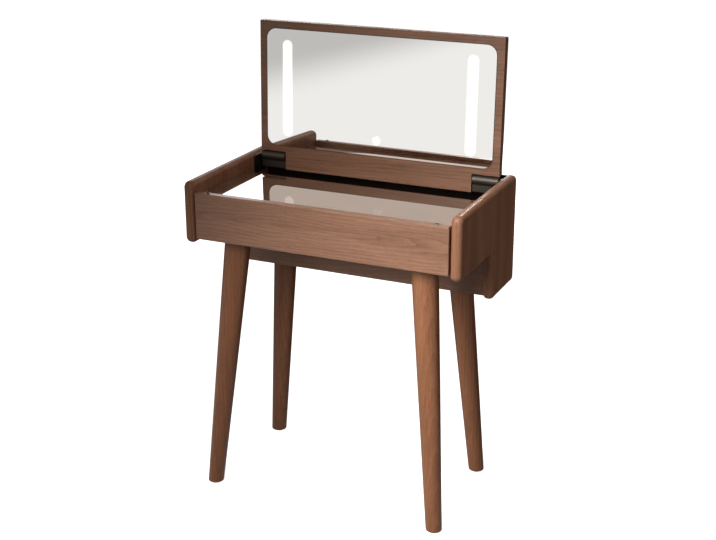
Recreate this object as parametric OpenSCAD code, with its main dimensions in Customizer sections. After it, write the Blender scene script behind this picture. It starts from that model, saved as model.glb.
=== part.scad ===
// Flip top vanity table: a small dressing table on four splayed legs. A mirror
// flap lies flush over the glass tray and lifts to stand behind it. Under the
// glass is a drawer, and behind the drawer a deep well for tall bottles.
//
// Frame: +Z up, front towards -Y. The origin is on the floor, at the centre of
// the space that the table takes up. Everything is in millimetres. The flap is
// drawn open, as it stands in use, and the drawer is drawn shut.

/* [Table] */
// Width over the side panels
table_w = 660; // [600:10:800]
// Depth of the side panels
table_d = 365; // [350:5:450]
// Height of the side panels above the floor
table_h = 740; // [700:10:900]
// Thickness of the side panels
side_t = 25; // [18:1:28]
// Depth of the shallow front part, under which the knees go
front_part_d = 211; // [200:1:216]
// Height of the side panels in the front part
front_part_h = 143; // [138:1:170]
// Height of the side panels in the deep rear part
rear_part_h = 254; // [220:1:300]
// Rounding of the side panels' edges
side_edge_r = 11; // [3:0.5:12]
// Thickness of the inner boards
board_t = 15; // [14:1:20]
// Thickness of the back panel
back_t = 5; // [5:1:10]

/* [Tray] */
// Thickness of the tinted glass
glass_t = 6; // [5:1:8]
// Drop from the side panels' top to the glass
tray_drop = 33; // [30:1:36]
// Height of the drawer front above the glass
front_lip = 9.5; // [4:0.5:10]

/* [Flap] */
// Thickness of the flap board
flap_t = 20; // [18:1:24]
// Lean of the open flap behind the vertical
open_tilt = 2; // [0:1:6]
// Part of the flap that reaches below its pivot when open
flap_tail = 29; // [24:1:30]
// Wood left round the mirror at the top and the sides
mirror_margin = 17; // [12:1:30]
// Wood left under the mirror
mirror_foot = 57; // [52:1:64]
// Thickness of the mirror
mirror_t = 4; // [3:1:5]
// Corner radius of the mirror
mirror_r = 25; // [10:1:40]

/* [Hinges] */
// Radius of the hinge pin
pin_r = 5; // [4:0.5:6]
// Running clearance round the hinge pin, on the radius
pin_play = 0.05; // [0.02:0.01:0.1]
// Length of the hinge barrel
barrel_l = 62; // [50:1:70]

/* [Drawer] */
// Thickness of the drawer front
front_t = 18; // [15:1:18]
// Travel of the drawer
drawer_travel = 130; // [80:5:130]
// Thickness of the drawer's sides and back
drawer_t = 12; // [10:1:12]
// Depth of the drawer box behind its front
drawer_l = 184; // [170:1:186]

/* [Legs] */
// Radius of a leg at the floor
foot_r = 18.5; // [15:0.5:22]
// Growth of a leg's radius for each millimetre of height
leg_taper = 0.019; // [0.01:0.001:0.022]
// Splay of every leg towards its side, in degrees
side_splay = 5; // [0:1:8]
// Splay of the front legs towards the front, in degrees
front_splay = 5; // [0:1:8]
// Splay of the rear legs towards the back, in degrees
rear_splay = 3; // [0:1:5]

/* [Hidden] */

$fn = 48;

// Overlap that makes a cut pass right through a face
cut = 1;

// --- Carcass -------------------------------------------------------------
foot_pad_t = 3;
foot_pad_r = 12;
plate_t = 3;
half_w = table_w / 2;
in_w = half_w - side_t;
side_front_z = table_h - front_part_h;
side_rear_z = table_h - rear_part_h;
// The drawer's floor stands this far above the lower edge of the side panels
board_lift = 9;
// and so far does the wall of the well
wall_lift = 6;
// The well's floor lies this far above its wall's lower edge
floor_lift = 8;
// Room for the fingers behind the lower edge of the drawer front
finger_room = 14;
drawer_floor_z = side_front_z + board_lift;
well_wall_z = side_rear_z + wall_lift;
well_floor_z = well_wall_z + floor_lift;
well_wall_d = front_part_d + 10;
well_d = well_wall_d + board_t;
back_in = 2;
back_d = table_d - back_in - back_t;
back_rebate = 10;
back_top_z = table_h - 4;
side_corner_r = 14;
rear_corner_r = max(8, side_edge_r + 1);

// --- Legs ----------------------------------------------------------------
leg_in = 103;
front_leg_d = 62;
rear_leg_d = table_d - 74;
leg_x = half_w - leg_in;
front_leg_z = drawer_floor_z - plate_t;
rear_leg_z = well_floor_z - plate_t;
// How far the front feet stand out in front of the side panels
foot_reach = max(0, foot_r + (front_leg_z - foot_pad_t) * tan(front_splay) - front_leg_d);
front_y = -(table_d - foot_reach) / 2;
plate_w = 50;
plate_hole = 19;
collar_r = 8;
collar_h = 9;
hanger_r = 4;
hanger_down = 38;
hanger_up = 8;

// --- Tray ----------------------------------------------------------------
pad_t = 1;
glass_top_z = table_h - tray_drop;
glass_z = glass_top_z - glass_t;
rail_top_z = glass_z - pad_t;
rail_h = 14;
rail_z = rail_top_z - rail_h;
front_in = 3;
front_back_d = front_in + front_t;
floor_d = front_back_d + finger_room;
rail_d = front_back_d + 3;
rail_t = 20;
cleat_w = 15;
glass_play = 2;

// --- Drawer --------------------------------------------------------------
front_gap = 3;
front_z = side_front_z + 12;
bumper_t = 3;
// The shut flap's bumpers stop just above the drawer front
lip = min(front_lip, tray_drop - flap_t - bumper_t - 0.5);
front_h = glass_top_z + lip - front_z;
slide_w = 12.7;
slide_h = 35;
slide_steel = 1.2;
slide_l = drawer_l - 4;
drawer_x = in_w - slide_w;
drawer_z = drawer_floor_z + board_t + 4;
drawer_h = rail_z - 6 - drawer_z;
drawer_back_d = front_back_d + drawer_l;
slide_z = drawer_z + drawer_h / 2;
ply_t = 5;
groove = 6;
ply_z = drawer_z + 7;

// --- Flap ----------------------------------------------------------------
flap_gap = 3.5;
flap_x = in_w - flap_gap;
flap_front_in = 1;
// The pivot, from the mirror face into the board and up from the flap's lower edge
pivot_n = 8;
// The flap's lower corner swings past the back panel with 1 to 2 mm to spare
back_gap = ceil(norm([flap_t - pivot_n, flap_tail]) - flap_tail + 1);
pivot_d = back_d - back_gap - flap_tail;
pivot_z = table_h - flap_t + pivot_n;
flap_l = pivot_d + flap_tail - flap_front_in;
barrel_r = flap_t - pivot_n;
mirror_w = 2 * (flap_x - mirror_margin);
mirror_h = flap_l - mirror_margin - mirror_foot;
mirror_play = 0.5;
light_w = 25;
light_inset = 40;
light_end = 26.5;
light_l = mirror_h - 2 * light_end;
light_x = mirror_w / 2 - light_inset - light_w / 2;
light_mid = mirror_foot + mirror_h / 2;
pocket_n = 13;
button_up = 37;
button_s = mirror_foot + button_up;
button_r = 11;
bumper_x = flap_x - 30;

// --- Hinges --------------------------------------------------------------
hinge_plate_t = 3;
boss_t = 1.5;
// Play between the barrels and the plates' bosses
boss_play = 0.5;
// Outer ends of the barrels
hinge_x = in_w - hinge_plate_t - boss_t - boss_play;
hinge_plate_d = pivot_d - 40;
hinge_plate_w = 60;
hinge_plate_h = 44;
hinge_plate_z = pivot_z - 38;
notch_play = 2;
notch_s = flap_tail + barrel_r + notch_play;
sleeve_r = pin_r + 2.5;
tongue_t = 4;
tongue_n = 8;
tongue_top = notch_s + 36;
arm_end = 4;

// Distance behind the front of the side panels, as a place along Y
function back(d) = front_y + d;

// ------------------------------------------------------------------ helpers

// Draws the right-hand piece, or its mirror image on the left
module on_side(s) {
    if (s < 0) mirror([1, 0, 0]) children();
    else children();
}

module both_sides() {
    for (s = [-1, 1]) on_side(s) children();
}

// Rectangle from [0, 0] with true round corners
module round_rect(w, h, r) {
    translate([r, 0]) square([w - 2 * r, h]);
    translate([0, r]) square([w, h - 2 * r]);
    for (x = [r, w - r], y = [r, h - r]) translate([x, y]) circle(r);
}

// Bar along X from -half to +half, with eased edges, low corner at [y, z]
module eased_bar(half, y, z, t, h, r) {
    translate([-half, y, z]) rotate([90, 0, 90]) linear_extrude(2 * half) round_rect(t, h, r);
}

// Box from low corner to high corner
module box(low, high) {
    translate(low) cube(high - low);
}

// Cylinder along +X from x0 to x1 at [y, z]
module rod_x(x0, x1, y, z, r) {
    translate([x0, y, z]) rotate([0, 90, 0]) cylinder(h = x1 - x0, r = r);
}

// Cylinder along +Y from y0 to y1 at [x, z]
module rod_y(y0, y1, x, z, r) {
    translate([x, y0, z]) rotate([-90, 0, 0]) cylinder(h = y1 - y0, r = r);
}

// Countersunk screw with its head's top at the origin, pointing down -Z
module screw(l, r, head_r) {
    sink = head_r - r;
    translate([0, 0, -sink]) cylinder(h = sink, r1 = r, r2 = head_r);
    translate([0, 0, -l]) cylinder(h = l - sink + 0.01, r = r);
}

// Cross recess that is cut into a screw's head
module cross_slot(r) {
    for (a = [0, 90]) rotate([0, 0, a]) translate([-r, -0.4, -1]) cube([2 * r, 0.8, 1 + cut]);
}

module driven_screw(l, r, head_r) {
    difference() {
        screw(l, r, head_r);
        cross_slot(head_r * 0.6);
    }
}

// Children drawn in the flap's own frame: X across, Y from the mirror face into
// the board, Z up from the flap's lower edge
module on_flap() {
    translate([0, back(pivot_d), pivot_z]) rotate([-open_tilt, 0, 0])
        translate([0, -pivot_n, -flap_tail]) children();
}

// Upright slot with round ends, centred on [x, s], cut from y0 to y1
module pill(x, s, w, l, y0, y1) {
    translate([x, y1, s]) rotate([90, 0, 0]) linear_extrude(y1 - y0)
        translate([-w / 2, -l / 2]) {
            translate([0, w / 2]) square([w, l - w]);
            for (y = [w / 2, l - w / 2]) translate([w / 2, y]) circle(w / 2);
        }
}

// ------------------------------------------------------------- hardware sites

// Where the cam locks sit, on the right: board, place and the way each faces
module at_cams_right() {
    cam_x = in_w - 34;
    for (d = [floor_d + 24, well_wall_d - 31])
        translate([cam_x, back(d), drawer_floor_z]) children();
    for (d = [well_d + 24, back_d - 24])
        translate([cam_x, back(d), well_floor_z]) children();
    for (z = [well_wall_z + 46, rail_z - 30])
        translate([cam_x, back(well_d), z]) rotate([90, 0, 0]) children();
}

cam_r = 7.5;
cam_h = 12.5;
cam_bolt_r = 3;
cam_bolt_in = 10;

// A cam bolt's line, from the cam's middle into the side panel
module cam_bolt_line(r, x0, x1) {
    rod_x(x0, x1, 0, board_t / 2, r);
}

module cam_cuts() {
    both_sides() at_cams_right() {
        translate([0, 0, -cut]) cylinder(h = cam_h + cut, r = cam_r);
        cam_bolt_line(cam_bolt_r + 1, 0, 34 + cut);
    }
}

// Leg tops: [x, distance behind the front, height, splay to the back]
module at_front_leg() {
    translate([leg_x, back(front_leg_d), front_leg_z]) children();
}

module at_rear_leg() {
    translate([leg_x, back(rear_leg_d), rear_leg_z]) children();
}

// Turns +Z to the leg's axis, which leans out by the two splays
module along_leg(back_splay) {
    dx = tan(side_splay);
    dy = tan(back_splay);
    rotate([0, 0, atan2(-dy, -dx)]) rotate([0, atan(norm([dx, dy])), 0]) children();
}

module at_leg_plate_screws() {
    for (x = [-1, 1], y = [-1, 1])
        translate([x * plate_hole, y * plate_hole, 0]) rotate([180, 0, 0]) children();
}

// What the leg hardware takes out of the board above it
module leg_plate_cuts(back_splay) {
    along_leg(back_splay) cylinder(h = plate_t + collar_h + 3, r = collar_r);
    at_leg_plate_screws() screw(13, 1.75, 3.5);
}

module at_hinge_plate_screws() {
    for (d = [7, hinge_plate_w - 7], z = [7, hinge_plate_h - 7])
        translate([in_w - hinge_plate_t, back(hinge_plate_d + d), hinge_plate_z + z])
            rotate([0, -90, 0]) children();
}

// Screws that hold the outer slide members, heads flush in the steel
module at_slide_screws() {
    for (d = [18, slide_l / 2 - 30, slide_l - 14])
        translate([in_w - slide_steel, back(rail_d + d), slide_z]) rotate([0, -90, 0]) children();
}

module at_drawer_slide_screws() {
    for (d = [34, slide_l - 40])
        translate([drawer_x + slide_steel, back(rail_d + d), slide_z]) rotate([0, 90, 0]) children();
}

module at_cleat_screws() {
    for (d = [26, 88, 150])
        translate([in_w - cleat_w, back(rail_d + rail_t + d), rail_z + rail_h / 2])
            rotate([0, -90, 0]) children();
}

back_screw_z = [well_wall_z + 30, (well_wall_z + back_top_z) / 2, back_top_z - 22];

module at_back_screws() {
    for (z = back_screw_z)
        both_sides() translate([in_w + back_rebate / 2, back(back_d + back_t), z])
            rotate([-90, 0, 0]) children();
    for (x = [-1, 0, 1])
        translate([x * in_w / 2, back(back_d + back_t), well_floor_z + board_t / 2])
            rotate([-90, 0, 0]) children();
}

module at_drawer_screws() {
    for (z = [drawer_z + 4.5, drawer_z + drawer_h - 5])
        translate([drawer_x, back(drawer_back_d - drawer_t / 2), z]) rotate([0, 90, 0]) children();
}

module at_hinge_arm_screws() {
    for (x = [barrel_l - 12, barrel_l - 30])
        translate([hinge_x - x, mirror_t, tongue_top - 10]) rotate([90, 0, 0]) children();
}

module rail_dowel_set(r) {
    for (d = [5.5, rail_t - 5.5])
        rod_x(in_w - 12, in_w + 12, back(rail_d + d), rail_z + rail_h / 2, r);
}

module drawer_dowel_set(r) {
    for (z = [-9, 9])
        rod_y(back(front_back_d - 12), back(front_back_d + 12), drawer_x - drawer_t / 2,
            slide_z + z, r);
}

// ------------------------------------------------------------------- carcass

// Coin with a rounded rim, thickness along Z
module rim_coin(r) {
    rotate_extrude($fn = 40) union() {
        square([r - side_edge_r, side_t]);
        translate([0, side_edge_r]) square([r, side_t - 2 * side_edge_r]);
        for (z = [side_edge_r, side_t - side_edge_r])
            intersection() {
                translate([r - side_edge_r, z]) circle(side_edge_r, $fn = 24);
                square([r, side_t]);
            }
    }
}

// Board with round corners and rounded edges; corners is a list of [d, z, r]
module rounded_slab(corners) {
    hull() for (c = corners) translate([c[0], c[1], 0]) rim_coin(c[2]);
}

// Side panel: a shallow front part and a deep rear part, cut from one board,
// every edge rounded over. The inner face has the rebate for the back panel.
module side_panel(s) {
    a = side_corner_r;
    b = rear_corner_r;
    color("saddlebrown") on_side(s) difference() {
        translate([in_w, front_y, 0]) rotate([90, 0, 90]) union() {
            rounded_slab([[a, side_front_z + a, a], [a, table_h - a, a],
                [table_d - b, table_h - b, b], [table_d - b, side_front_z + b, b]]);
            rounded_slab([[front_part_d + a, side_rear_z + a, a], [front_part_d + a, table_h - a, a],
                [table_d - b, table_h - b, b], [table_d - b, side_rear_z + b, b]]);
        }
        box([in_w - cut, back(back_d), well_wall_z],
            [in_w + back_rebate, back(table_d) + cut, back_top_z]);
        at_cams_right() cam_bolt_line(cam_bolt_r, 30, 34 + cam_bolt_in);
        at_hinge_plate_screws() screw(18, 2, 3.8);
        at_slide_screws() screw(14, 1.75, 2.95);
        at_cleat_screws() screw(27, 1.75, 3.5);
        rail_dowel_set(cam_bolt_r);
        for (z = back_screw_z)
            translate([in_w + back_rebate / 2, back(back_d + back_t), z])
                rotate([-90, 0, 0]) screw(24, 1.75, 3.5);
    }
}

module side_panel_left() { side_panel(-1); }
module side_panel_right() { side_panel(1); }

// Board under the drawer. The front legs hang on it.
module drawer_floor() {
    color("sienna") difference() {
        box([-in_w, back(floor_d), drawer_floor_z], [in_w, back(well_wall_d), drawer_floor_z + board_t]);
        cam_cuts();
        both_sides() at_front_leg() leg_plate_cuts(-front_splay);
    }
}

// Upright board between the drawer and the well. It carries the glass at its top
// and shows below the drawer as the apron.
module well_front_wall() {
    color("sienna") difference() {
        box([-in_w, back(well_wall_d), well_wall_z], [in_w, back(well_d), rail_top_z]);
        cam_cuts();
    }
}

module well_floor() {
    color("sienna") difference() {
        box([-in_w, back(well_d), well_floor_z], [in_w, back(back_d), well_floor_z + board_t]);
        cam_cuts();
        both_sides() at_rear_leg() leg_plate_cuts(rear_splay);
        at_back_screws() screw(24, 1.75, 3.5);
    }
}

module back_panel() {
    x = in_w + back_rebate;
    color("peru") difference() {
        box([-x, back(back_d), well_wall_z], [x, back(back_d + back_t), back_top_z]);
        at_back_screws() screw(24, 1.75, 3.5);
    }
}

// Rail behind the drawer front, under the front edge of the glass
module front_rail() {
    color("sienna") difference() {
        eased_bar(in_w, back(rail_d), rail_z, rail_t, rail_h, 1.5);
        both_sides() rail_dowel_set(cam_bolt_r);
    }
}

// Batten on the side panel, under the end of the glass
module glass_cleat(s) {
    color("sienna") on_side(s) difference() {
        box([in_w - cleat_w, back(rail_d + rail_t), rail_z], [in_w, back(well_wall_d), rail_top_z]);
        at_cleat_screws() screw(27, 1.75, 3.5);
    }
}

module glass_cleat_left() { glass_cleat(-1); }
module glass_cleat_right() { glass_cleat(1); }

// Tinted glass that is the bottom of the tray. It ends short of the flap, so
// that the well stays open behind it.
module glass_top() {
    w = in_w - glass_play;
    d0 = front_back_d + glass_play;
    color([0.16, 0.15, 0.15, 0.75]) translate([-w, back(d0), glass_z])
        linear_extrude(glass_t) round_rect(2 * w, well_d - 0.5 - d0, 5);
}

// Clear dots that the glass lies on
module glass_pads() {
    color("gainsboro") both_sides() {
        for (p = [[in_w - 55, rail_d + rail_t / 2], [in_w - cleat_w / 2, rail_d + 66],
                  [in_w - cleat_w / 2, rail_d + 156], [in_w - 105, well_wall_d + board_t / 2]])
            translate([p[0], back(p[1]), rail_top_z]) cylinder(h = pad_t, r = 5);
    }
}

// Turned leg, tapered towards the foot and leaning out, cut level at both ends
module leg(top_z, back_splay) {
    l = top_z / cos(side_splay) / cos(back_splay) + 20;
    over = 10;
    color("chocolate") difference() {
        intersection() {
            along_leg(back_splay) translate([0, 0, -l])
                cylinder(h = l + over, r1 = foot_r - (l - top_z) * leg_taper,
                    r2 = foot_r + (top_z + over) * leg_taper, $fn = 64);
            translate([-200, -200, foot_pad_t - top_z]) cube([400, 400, top_z - foot_pad_t]);
        }
        along_leg(back_splay) translate([0, 0, -hanger_down])
            cylinder(h = hanger_down + over, r = hanger_r);
    }
}

module leg_front_left() { on_side(-1) at_front_leg() leg(front_leg_z, -front_splay); }
module leg_front_right() { at_front_leg() leg(front_leg_z, -front_splay); }
module leg_rear_left() { on_side(-1) at_rear_leg() leg(rear_leg_z, rear_splay); }
module leg_rear_right() { at_rear_leg() leg(rear_leg_z, rear_splay); }

// Steel plate with a leaning threaded collar, screwed under a board
module leg_plate(back_splay) {
    difference() {
        union() {
            translate([-plate_w / 2, -plate_w / 2, 0])
                linear_extrude(plate_t) round_rect(plate_w, plate_w, 4);
            intersection() {
                along_leg(back_splay) cylinder(h = plate_t + collar_h, r = collar_r);
                translate([-collar_r * 2, -collar_r * 2, plate_t / 2]) cube(4 * collar_r);
            }
        }
        along_leg(back_splay) translate([0, 0, -5]) cylinder(h = 30, r = hanger_r);
        at_leg_plate_screws() screw(13, 1.75, 3.5);
    }
}

module leg_plates() {
    color("dimgray") both_sides() {
        at_front_leg() leg_plate(-front_splay);
        at_rear_leg() leg_plate(rear_splay);
    }
}

// Bolt along the leg's axis, half in the wood and half in the plate's collar
module hanger_bolt(back_splay) {
    along_leg(back_splay) translate([0, 0, -hanger_down])
        cylinder(h = hanger_down + hanger_up, r = hanger_r);
}

module hanger_bolts() {
    color("silver") both_sides() {
        at_front_leg() hanger_bolt(-front_splay);
        at_rear_leg() hanger_bolt(rear_splay);
    }
}

// Felt pad under a leg, where its axis meets the floor
module foot_pad(top_z, back_splay) {
    translate([top_z * tan(side_splay), top_z * tan(back_splay), -top_z])
        cylinder(h = foot_pad_t, r = foot_pad_r);
}

module foot_pads() {
    color("dimgray") both_sides() {
        at_front_leg() foot_pad(front_leg_z, -front_splay);
        at_rear_leg() foot_pad(rear_leg_z, rear_splay);
    }
}

// -------------------------------------------------------------------- drawer

// Plain front without a handle; it is pulled by its lower edge
module drawer_front() {
    color("sandybrown") difference() {
        eased_bar(in_w - front_gap, back(front_in), front_z, front_t, front_h, 2);
        drawer_ply(0);
        both_sides() drawer_dowel_set(4);
    }
}

// Bottom panel of the drawer, in a groove all round
module drawer_ply(play) {
    x = drawer_x - drawer_t + groove - play;
    box([-x, back(front_back_d - groove), ply_z],
        [x, back(drawer_back_d - drawer_t + groove), ply_z + ply_t]);
}

module drawer_side(s) {
    color("burlywood") on_side(s) difference() {
        box([drawer_x - drawer_t, back(front_back_d), drawer_z],
            [drawer_x, back(drawer_back_d), drawer_z + drawer_h]);
        drawer_ply(0);
        drawer_dowel_set(4);
        at_drawer_slide_screws() screw(11, 1.75, 2.95);
        at_drawer_screws() screw(30, 1.75, 3.5);
    }
}

module drawer_side_left() { drawer_side(-1); }
module drawer_side_right() { drawer_side(1); }

module drawer_back() {
    x = drawer_x - drawer_t;
    color("burlywood") difference() {
        box([-x, back(drawer_back_d - drawer_t), drawer_z], [x, back(drawer_back_d), drawer_z + drawer_h]);
        drawer_ply(0);
        both_sides() at_drawer_screws() screw(30, 1.75, 3.5);
    }
}

module drawer_bottom() {
    color("wheat") drawer_ply(0);
}

// -------------------------------------------------------------------- slides
// Profiles are drawn with X away from the side panel and Y up from the middle

ball_r = 2.6;
race_gap = 2 * ball_r + 0.1;
ball_u = 5;
inner_h = slide_h - 2 * slide_steel - 2 * race_gap;
cage_l = slide_l - drawer_travel;
cage_d = rail_d + drawer_travel / 2;

// Profile extruded along the slide, from distance d for length l
module slide_section(d, l) {
    translate([in_w, back(d + l), slide_z]) rotate([90, 0, 0]) mirror([1, 0, 0])
        linear_extrude(l) children();
}

module outer_profile() {
    h = slide_h / 2;
    square([slide_steel, slide_h], center = false);
    for (y = [0, slide_h - slide_steel]) translate([0, y]) square([9, slide_steel]);
    for (y = [0, slide_h - 2.5]) translate([9 - slide_steel, y]) square([slide_steel, 2.5]);
}

module inner_profile() {
    translate([slide_w - slide_steel, 0]) square([slide_steel, inner_h]);
    for (y = [0, inner_h - slide_steel]) translate([3.2, y]) square([slide_w - 3.2, slide_steel]);
}

// Channel of rolled steel screwed to the side panel
module slide_outer(s) {
    color("lightgray") on_side(s) difference() {
        slide_section(rail_d, slide_l) translate([0, -slide_h / 2]) outer_profile();
        at_slide_screws() screw(14, 1.75, 2.95);
    }
}

// Channel that rides in the outer one on the balls, screwed to the drawer
module slide_inner(s) {
    color("silver") on_side(s) difference() {
        slide_section(rail_d, slide_l) translate([0, -inner_h / 2]) inner_profile();
        at_drawer_slide_screws() screw(11, 1.75, 2.95);
    }
}

// Ball retainer between the channels, which moves half as far as the drawer
module ball_cage(s) {
    v = slide_h / 2 - slide_steel - race_gap / 2;
    count = floor(cage_l / 12);
    pitch = cage_l / count;
    color("gainsboro") on_side(s) {
        difference() {
            slide_section(cage_d, cage_l) {
                translate([1.6, -v]) square([0.8, 2 * v]);
                for (y = [-v, v]) translate([1.6, y - 0.5]) square([5.9, 1]);
            }
            for (k = [0 : count - 1], y = [-v, v])
                translate([in_w - ball_u, back(cage_d + (k + 0.5) * pitch), slide_z + y - 3])
                    cylinder(h = 6, r = ball_r);
        }
        for (k = [0 : count - 1], y = [-v, v])
            translate([in_w - ball_u, back(cage_d + (k + 0.5) * pitch), slide_z + y])
                sphere(ball_r - 0.02);
    }
}

module slide_outer_left() { slide_outer(-1); }
module slide_outer_right() { slide_outer(1); }
module slide_inner_left() { slide_inner(-1); }
module slide_inner_right() { slide_inner(1); }
module ball_cage_left() { ball_cage(-1); }
module ball_cage_right() { ball_cage(1); }

// ---------------------------------------------------------------------- flap

driver_x = 60;
driver_s0 = mirror_foot + 6;
driver_s1 = button_s + 21;
driver_n = 14;
strip_t = 1.2;
channel_h = 5;
channel_n = pocket_n - strip_t;
port_w = 12;
port_h = 14;
port_t = 7;
port_n = 6.5;
lead_r = 1.2;

// Flap: one board with the mirror let into its front. Behind the mirror it is
// routed for the lights, and its lower corners are cut away for the hinges.
module flap_board() {
    color("saddlebrown") on_flap() difference() {
        translate([-flap_x, flap_t, 0]) rotate([90, 0, 0])
            linear_extrude(flap_t) round_rect(2 * flap_x, flap_l, 3);
        // recess for the mirror
        translate([0, mirror_t, 0]) rotate([90, 0, 0]) linear_extrude(mirror_t + cut)
            translate([-mirror_w / 2 - mirror_play, mirror_foot - mirror_play])
                round_rect(mirror_w + 2 * mirror_play, mirror_h + 2 * mirror_play, mirror_r);
        both_sides() {
            pill(light_x, light_mid, light_w, light_l, 0, pocket_n);
            // corner for the hinge arm, and the mortise for its tongue
            box([hinge_x - barrel_l - notch_play, -cut, -cut], [flap_x + cut, flap_t + cut, notch_s]);
            box([hinge_x - barrel_l + arm_end, tongue_n, notch_s - cut],
                [hinge_x - arm_end, tongue_n + tongue_t, tongue_top]);
            at_hinge_arm_screws() screw(13, 2, 4);
            // channel for the wires
            box([driver_x - cut, 0, button_s - channel_h / 2],
                [light_x, channel_n, button_s + channel_h / 2]);
        }
        box([-driver_x, 0, driver_s0], [driver_x, driver_n, driver_s1]);
        // socket for charging, in the lower edge
        box([-port_w / 2, port_n, -cut], [port_w / 2, port_n + port_t, port_h]);
        translate([0, port_n + port_t / 2, port_h - cut])
            cylinder(h = driver_s0 - port_h + 2 * cut, r = 2.5);
    }
}

module mirror_glass() {
    color("lightsteelblue") on_flap() translate([0, mirror_t, 0]) rotate([90, 0, 0])
        linear_extrude(mirror_t) translate([-mirror_w / 2, mirror_foot])
            round_rect(mirror_w, mirror_h, mirror_r - mirror_play);
}

// Opal strips behind the frosted windows of the mirror
module light_diffusers() {
    color("white") on_flap() both_sides()
        pill(light_x, light_mid, light_w, light_l, mirror_t, mirror_t + 2);
}

// Circuit strip with its row of lamps, on the floor of the pocket
module led_strips() {
    l = light_l - light_w + 8;
    lamps = floor(l / 9);
    color("ivory") on_flap() both_sides() {
        box([light_x - 5, pocket_n - strip_t, light_mid - l / 2],
            [light_x + 5, pocket_n, light_mid + l / 2]);
        for (k = [0 : lamps - 1])
            translate([light_x - 1.75, pocket_n - 2, light_mid - l / 2 + (k + 0.5) * l / lamps - 1.75])
                cube([3.5, 0.81, 3.5]);
    }
}

// White disc on the mirror that is touched to switch the lights
module touch_button() {
    color("white") on_flap() translate([0, 0, button_s]) rotate([90, 0, 0])
        cylinder(h = 0.6, r = button_r);
}

// Copper pad on the back of the mirror, which feels the finger
module touch_sensor() {
    color("goldenrod") on_flap() translate([0, mirror_t + 1, button_s]) rotate([90, 0, 0])
        cylinder(h = 1, r = 10);
}

module light_controller() {
    color("darkgreen") on_flap() {
        box([-driver_x + 4, driver_n - 1.6, button_s - 4], [driver_x - 4, driver_n, driver_s1 - 4]);
        for (x = [-38, -12, 20])
            box([x, driver_n - 3.6, button_s + 4], [x + 12, driver_n - 1.59, button_s + 13]);
    }
}

// Flat rechargeable cell
module light_battery() {
    color("lightslategray") on_flap() translate([-32, driver_n, driver_s0 + 2])
        rotate([90, 0, 0]) linear_extrude(7) round_rect(64, button_s - driver_s0 - 8, 3);
}

// Leads from the controller to each light, and from the socket
module light_wires() {
    color("firebrick") on_flap() {
        both_sides() for (z = [-1.3, 1.3])
            rod_x(driver_x - 6, light_x - 4, channel_n - lead_r, button_s + z, lead_r);
        translate([0, port_n + port_t / 2, port_h])
            cylinder(h = driver_s0 - port_h + 2, r = lead_r);
    }
}

// Small oval charging socket in the flap's lower edge
module charge_port() {
    color("darkgray") on_flap() difference() {
        box([-port_w / 2, port_n, 0], [port_w / 2, port_n + port_t, port_h]);
        translate([0, port_n + port_t / 2, -cut]) linear_extrude(7 + cut) {
            square([6, 3], center = true);
            for (x = [-3, 3]) translate([x, 0]) circle(1.5);
        }
        translate([0, port_n + port_t / 2, -cut]) cylinder(h = 0.01 + cut, r = 0.5);
    }
}

// Clear buffers on the drawer front, which the flap comes down on
module flap_bumpers() {
    color("gainsboro") both_sides()
        translate([bumper_x, back(front_in + front_t / 2), front_z + front_h])
            cylinder(h = bumper_t, r1 = 4.5, r2 = 3.5);
}

// -------------------------------------------------------------------- hinges

boss_r = pin_r + 1.5;

// Black steel plate on the side panel, which holds the pin
module hinge_plate(s) {
    color([0.1, 0.1, 0.1]) on_side(s) difference() {
        union() {
            translate([in_w - hinge_plate_t, back(hinge_plate_d), hinge_plate_z])
                rotate([90, 0, 90]) linear_extrude(hinge_plate_t)
                    round_rect(hinge_plate_w, hinge_plate_h, 8);
            rod_x(in_w - hinge_plate_t - boss_t, in_w - 1, back(pivot_d), pivot_z, boss_r);
        }
        rod_x(in_w - 10, in_w + cut, back(pivot_d), pivot_z, pin_r);
        at_hinge_plate_screws() screw(18, 2, 3.8);
    }
}

module hinge_plate_left() { hinge_plate(-1); }
module hinge_plate_right() { hinge_plate(1); }

// Steel pins riveted in the plates; the flap turns on them
module hinge_pins() {
    color("silver") both_sides()
        rod_x(hinge_x - barrel_l + 8, in_w, back(pivot_d), pivot_z, pin_r);
}

// Cast arm: a barrel round the pin, a skirt that fills the flap's corner and a
// tongue let into the board
module hinge_arm(s) {
    x0 = hinge_x - barrel_l;
    color([0.23, 0.23, 0.24]) on_flap() on_side(s) difference() {
        union() {
            rod_x(x0, hinge_x, pivot_n, flap_tail, barrel_r);
            translate([x0, 3, 0]) rotate([90, 0, 90]) linear_extrude(barrel_l)
                round_rect(flap_t - 4, flap_tail, 3);
            box([x0 + arm_end, tongue_n, flap_tail], [hinge_x - arm_end, tongue_n + tongue_t, tongue_top]);
        }
        rod_x(x0 + 6, hinge_x + cut, pivot_n, flap_tail, sleeve_r);
        at_hinge_arm_screws() screw(13, 2, 4);
    }
}

module hinge_arm_left() { hinge_arm(-1); }
module hinge_arm_right() { hinge_arm(1); }

// Friction sleeves pressed into the barrels; they keep the flap where it is put
module friction_sleeves() {
    color("darkgoldenrod") on_flap() both_sides() difference() {
        rod_x(hinge_x - barrel_l + 6, hinge_x, pivot_n, flap_tail, sleeve_r);
        rod_x(hinge_x - barrel_l, hinge_x + cut, pivot_n, flap_tail, pin_r + pin_play);
    }
}

// ----------------------------------------------------------------- fasteners

// Zinc cams in the boards, each with the pocket that grips its bolt
module cam_locks() {
    color("silver") both_sides() at_cams_right() difference() {
        cylinder(h = cam_h, r = cam_r);
        cam_bolt_line(cam_bolt_r + 1, -3, cam_r + cut);
        translate([-4, -0.6, -cut]) cube([8, 1.2, 1.8 + cut]);
    }
}

module cam_bolts() {
    color("silver") both_sides() at_cams_right() cam_bolt_line(cam_bolt_r, 0, 34 + cam_bolt_in);
}

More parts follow.
